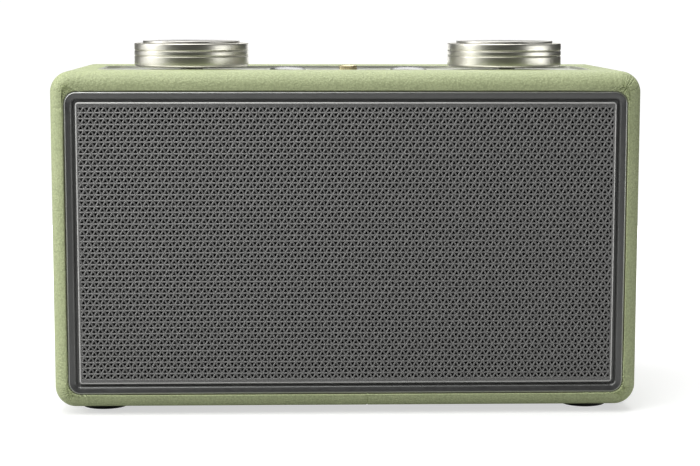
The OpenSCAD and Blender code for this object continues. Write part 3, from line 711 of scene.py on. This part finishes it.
def clip(poly, x_limit, keep_less):
    """Part of a polygon on one side of an upright line."""
    out = []
    for a, b in zip(poly, poly[1:] + poly[:1]):
        a_in = (a[0] <= x_limit) == keep_less or a[0] == x_limit
        b_in = (b[0] <= x_limit) == keep_less or b[0] == x_limit
        if a_in:
            out.append(a)
        if a_in != b_in:
            t = (x_limit - a[0]) / (b[0] - a[0])
            out.append((x_limit, a[1] + (b[1] - a[1]) * t))
    return out


def inset_polygon(poly, d):
    """Convex anticlockwise polygon moved in by d, or None if nothing is left."""
    lines = []
    for a, b in zip(poly, poly[1:] + poly[:1]):
        dx, dz = b[0] - a[0], b[1] - a[1]
        length = math.hypot(dx, dz)
        if length < 1e-6:
            return None
        nx, nz = -dz / length, dx / length
        lines.append((nx, nz, nx * a[0] + nz * a[1] + d))
    out = []
    for a, b in zip(lines[-1:] + lines[:-1], lines):
        det = a[0] * b[1] - a[1] * b[0]
        if abs(det) < 1e-9:
            return None
        out.append(((a[2] * b[1] - a[1] * b[2]) / det, (a[0] * b[2] - a[2] * b[0]) / det))
    for (p, q), (a, b) in zip(zip(out, out[1:] + out[:1]), zip(poly, poly[1:] + poly[:1])):
        if (q[0] - p[0]) * (b[0] - a[0]) + (q[1] - p[1]) * (b[1] - a[1]) <= 0:
            return None
    return out


def lattice_cells(half_x, z0, z1):
    """Triangles of the lattice, cut off at its sides."""
    row_h = (z1 - z0) / LATTICE_ROWS
    side = row_h * 2 / math.sqrt(3)
    for r in range(LATTICE_ROWS):
        lo, hi = z0 + r * row_h, z0 + (r + 1) * row_h
        for c in range(-3, int(2 * half_x / (side / 2)) + 6):
            x = -half_x + (c - 1) * side / 2
            if (c + r) % 2 == 0:
                poly = [(x, lo), (x + side, lo), (x + side / 2, hi)]
            else:
                poly = [(x + side / 2, lo), (x + side, hi), (x, hi)]
            poly = clip(poly, -half_x, False)
            poly = clip(poly, half_x, True) if poly else poly
            cell = [p for i, p in enumerate(poly) if math.dist(p, poly[i - 1]) > 1e-5]
            if len(cell) >= 3:
                yield cell


def grille_lattice():
    """Pressed pan with a lattice of triangular holes; the struts are ridged."""
    w, h, zc = GRILLE.size.x, GRILLE.size.z, GRILLE.mid.z
    half_x = w / 2 - LATTICE_SIDE
    z0, z1 = zc - h / 2 + LATTICE_MARGIN, zc + h / 2 - LATTICE_MARGIN
    verts, faces = [], []

    def ring(poly, depth):
        first = len(verts)
        verts.extend(P(x, GRILLE.lo.y + depth, z) for x, z in poly)
        return list(range(first, first + len(poly)))

    for cell in lattice_cells(half_x, z0, z1):
        hole = inset_polygon(cell, STRUT_HALF)
        ridge = ring(cell, 0)
        if not hole or inset_polygon(hole, 0.12) is None:
            faces.append(tuple(ridge))
            continue
        slope, lip = ring(inset_polygon(cell, STRUT_HALF * 0.82), 0.20), ring(hole, 0.42)
        back, rim = ring(hole, GRILLE_SHEET), ring(cell, GRILLE_SHEET)
        n = len(cell)
        for one, two in ((ridge, slope), (slope, lip), (lip, back), (back, rim)):
            for j in range(n):
                k = (j + 1) % n
                faces.append((one[j], one[k], two[k], two[j]))

    # Plain margins above and below, and the narrow strips beside the lattice
    inset = GRILLE_EDGE[0][0]
    x1, low, high = w / 2 - inset, zc - h / 2 + inset, zc + h / 2 - inset
    for xa, xb, za, zb in ((-x1, x1, low, z0), (-x1, x1, z1, high),
                           (-x1, -half_x, z0, z1), (half_x, x1, z0, z1)):
        faces.append(tuple(ring([(xa, za), (xb, za), (xb, zb), (xa, zb)], 0)))

    rows = []
    for d, y in GRILLE_EDGE:
        r = 0.02 if d == inset else GRILLE_R - d
        points = outline(w - 2 * d, h - 2 * d, r, zc, [0, 1], [0, 1], 6)
        rows.append([P(x, GRILLE.lo.y + y, z) for x, z, _, _ in points])
    flange_verts, flange_faces = sweep(rows)
    faces += [tuple(len(verts) + i for i in f) for f in flange_faces]
    return piece("grille_lattice", verts + flange_verts, faces, "grille", sharp=22)


# ---------- knobs, buttons and jack ----------

KNOB_SEGMENTS = 192
KNOB_GROOVES = (0.466, 0.698)   # heights as shares of the knob's
GROOVE = 0.36                   # depth, and half the width at the knob's wall
DIMPLE_IN, DIMPLE_R, DIMPLE_DEPTH = 4.5, 1.6, 0.4


def axis_foot(box):
    return (box.mid.x, box.mid.y, box.lo.z)


def knob(side):
    body, inlay = BodyBox(side + "_knob"), BodyBox(side + "_knob_inlay")
    r, h, seat_r = body.size.x / 2, body.size.z, inlay.size.x / 2
    wall = smoothed([(3.3, 2.2), (7, 2.2), (7, 4.4), (r - 3, 4.4), (r - 3, 0), (r - 0.9, 0),
                     (r, 0.9), (r, 2.4)], 0.35)
    for share in KNOB_GROOVES:
        z = h * share
        wall += smoothed([(r, z - GROOVE - 0.4), (r, z - GROOVE), (r - GROOVE, z - 0.12),
                          (r - GROOVE, z + 0.12), (r, z + GROOVE), (r, z + GROOVE + 0.4)],
                         0.12, 3)
    wall += smoothed([(r, h - 1.2), (r, h), (seat_r - 0.2, h), (0, h)], 0.55, 6)
    lathe(side + "_knob_turned", wall, side + "_knob", axis_foot(body), KNOB_SEGMENTS)
    knob_disc(side, (body.mid.x, body.mid.y, inlay.lo.z), seat_r, inlay.size.z)


def knob_disc(side, at, r, t):
    """Inlay disc with a raised rim and a pointer dimple."""
    section = smoothed([(0.0, 0), (r, 0), (r, t - 0.05), (r - 0.7, t), (r - 2.2, t),
                        (r - 2.9, t - 0.12), (2.0, t - 0.12), (0.0, t - 0.12)], 0.3, 3)
    disc = lathe(side + "_knob_disc", section, side + "_knob_inlay", at, KNOB_SEGMENTS)
    spot = Vector((0, (DIMPLE_IN - r) * MM))

    def away(vert):
        return (vert.co.xy - spot).length / MM

    # The disc's faces round the dimple are made finer, then pressed in
    bm = bmesh.new()
    bm.from_mesh(disc.data)
    near = [f for f in bm.faces if f.normal.z > 0.9 and any(away(v) < 3.2 for v in f.verts)]
    bmesh.ops.poke(bm, faces=near)
    cuts = [e for e in bm.edges
            if min(away(v) for v in e.verts) < 4 and e.calc_length() > 0.8 * MM]
    bmesh.ops.subdivide_edges(bm, edges=cuts, cuts=4, use_grid_fill=True)
    for v in bm.verts:
        d = away(v)
        if d < DIMPLE_R and v.co.z > (t - 0.4) * MM:
            v.co.z -= DIMPLE_DEPTH * MM * math.cos(d / DIMPLE_R * math.pi / 2)
    bm.to_mesh(disc.data)
    bm.free()
    disc.data.polygons.foreach_set("use_smooth", [True] * len(disc.data.polygons))


def push_button(side):
    """Cap with a domed face and a rolled edge, on the flange that holds it under the panel."""
    box = BodyBox(side + "_button")
    h, flange_r, cap_r = box.size.z, box.size.x / 2, box.size.x / 2 - 1.2
    under = NUT.lo.z - box.lo.z - 3.0   # the nut stands on the panel's face
    dome_h, angle, steps = 1.55, 1.25, 10
    dome = []
    for k in range(steps):
        g = angle * (1 - k / steps)
        dome.append((cap_r * math.sin(g) / math.sin(angle),
                     h - dome_h * (1 - math.cos(g)) / (1 - math.cos(angle))))
    outer = smoothed([(2.0, 0), (2.0, under - 1.6), (flange_r, under - 1.6),
                      (flange_r, under - 0.2), (cap_r, under - 0.2),
                      (cap_r, dome[0][1] - 0.25)], 0.15, 2)
    profile = [(0.0, 0)] + outer + dome + [(0.0, h)]
    lathe(side + "_button_cap", profile, side + "_button", axis_foot(box), 96)


def knurled_nut():
    r, h, bore = NUT.size.x / 2, NUT.size.z, 3.05
    profile = smoothed([(bore, 0), (r - 0.3, 0), (r, 0.35), (r, h - 0.4), (r - 0.45, h),
                        (3.6, h), (bore, h - 0.35), (bore, 0.05)], 0.12, 2)
    teeth, segments, depth = 36, 288, 0.24

    def knurl(k, z):
        if not 0.2 < z < h - 0.25:
            return -0.1
        return -depth * (0.5 - 0.5 * math.cos(k / segments * teeth * math.tau))

    lathe("jack_nut_knurled", profile, "jack_nut", axis_foot(NUT), segments, 60, knurl)


leather_skin()
bezel_frame()
grille_lattice()
for side in ("volume", "tuning"):
    knob(side)
for side in ("left", "right"):
    push_button(side)
knurled_nut()

# ---------- stage, light and camera ----------


def stage_floor():
    """Pale disc on which the radio stands."""
    bm = bmesh.new()
    n = 96
    loops = [[bm.verts.new((r * math.cos(k / n * math.tau), r * math.sin(k / n * math.tau), 0))
              for k in range(n)] for r in (0.02, 0.12, 0.25, 0.5, 0.75)]
    bm.faces.new(loops[0])
    for a, b in zip(loops, loops[1:]):
        for k in range(n):
            bm.faces.new((a[k], b[k], b[(k + 1) % n], a[(k + 1) % n]))
    me = bpy.data.meshes.new("studio_floor")
    bm.to_mesh(me)
    bm.free()
    obj = bpy.data.objects.new("studio_floor", me)
    bpy.context.scene.collection.objects.link(obj)
    m = Mat("studio_paper", (0.5, 0.5, 0.5), rough=0.9, spec=0.1)
    m.vary(m.noise(6), 0.01)
    # The camera sees the paper lifted to white, most at its rim; it lights the radio as grey paper
    away = m.vector_math("LENGTH", m.coord)["Value"]
    lift = m.node("MapRange", {"Value": away, "From Min": 0.2, "From Max": 0.6,
                               "To Min": 0.60, "To Max": 1.0}).outputs["Result"]
    camera_ray = m.node("LightPath").outputs["Is Camera Ray"]
    seen = m.node("Math", {0: lift, 1: camera_ray}, operation="MULTIPLY").outputs[0]
    m.bsdf.inputs["Emission Color"].default_value = (1, 1, 1, 1)
    m.to_shader(seen, "Emission Strength")
    me.materials.append(m.mat)


def world():
    """Dim grey surroundings that the camera sees as white."""
    w = bpy.data.worlds.new("studio")
    bpy.context.scene.world = w
    w.use_nodes = True
    tree = w.node_tree
    grey = tree.nodes["Background"]
    grey.inputs["Color"].default_value = (0.5, 0.5, 0.5, 1)
    grey.inputs["Strength"].default_value = 0.07
    white = add_node(tree, "Background", {"Color": (1, 1, 1, 1), "Strength": 1.05})
    camera_ray = add_node(tree, "LightPath").outputs["Is Camera Ray"]
    mix = add_node(tree, "MixShader", {0: camera_ray, 1: grey.outputs[0], 2: white.outputs[0]})
    tree.links.new(mix.outputs[0], tree.nodes["World Output"].inputs["Surface"])


def camera():
    """Camera fitted to the edges of the bezel, the leather and the knobs in the photo."""
    cam = bpy.data.cameras.new("camera")
    cam.sensor_width = 36
    cam.lens = 92.62
    cam.clip_start, cam.clip_end = 0.01, 50
    obj = bpy.data.objects.new("camera", cam)
    bpy.context.scene.collection.objects.link(obj)
    yaw, pitch, roll = math.radians(1.80), math.radians(7.08), math.radians(-0.08)
    forward = Vector((math.sin(yaw) * math.cos(pitch), math.cos(yaw) * math.cos(pitch),
                      -math.sin(pitch)))
    level = Vector((math.cos(yaw), -math.sin(yaw), 0))
    down = forward.cross(level)
    right = level * math.cos(roll) + down * math.sin(roll)
    up = level * math.sin(roll) - down * math.cos(roll)
    turn = Matrix((right, up, -forward)).transposed().to_4x4()
    obj.matrix_world = Matrix.Translation(P(-25.2, -848.7, 190)) @ turn
    bpy.context.scene.camera = obj


def area(name, at, target, size, power, size_y=None):
    """Area light; places and sizes in metres, power in watts."""
    light = bpy.data.lights.new(name, "AREA")
    light.energy = power
    light.size = size
    if size_y:
        light.shape = "RECTANGLE"
        light.size_y = size_y
    obj = bpy.data.objects.new(name, light)
    obj.location = at
    obj.rotation_euler = (Vector(target) - Vector(at)).to_track_quat("-Z", "Y").to_euler()
    obj.visible_camera = False
    bpy.context.scene.collection.objects.link(obj)


stage_floor()
world()
camera()
area("key_top", (-0.45, -0.7, 1.3), (0, 0, 0.08), 0.9, 9)
area("key_left", (-0.85, -0.7, 0.7), (0, 0, 0.1), 0.6, 3)
area("back_soft", (0.3, 0.95, 1.05), (0, 0, 0.12), 1.3, 7, size_y=0.9)
area("back_low", (0.0, 1.2, 0.1), (0, 0, 0.16), 1.2, 2.5, size_y=0.35)
area("top_soft", (0.0, 0.0, 1.3), (0, 0, 0.1), 0.9, 10)
area("left_side", (-1.2, -0.15, 0.5), (0, 0, 0.1), 0.6, 6)
area("left_high", (-0.8, 0.2, 0.9), (0, 0, 0.16), 0.6, 1.6)
area("left_strip", (-1.06, -0.12, 0.1), (0, 0, 0.14), 1.3, 1.3, size_y=0.26)
area("right_strip", (0.98, -0.42, 0.08), (0, 0, 0.14), 0.8, 1.7, size_y=0.16)
bpy.context.scene.view_settings.view_transform = "Standard"
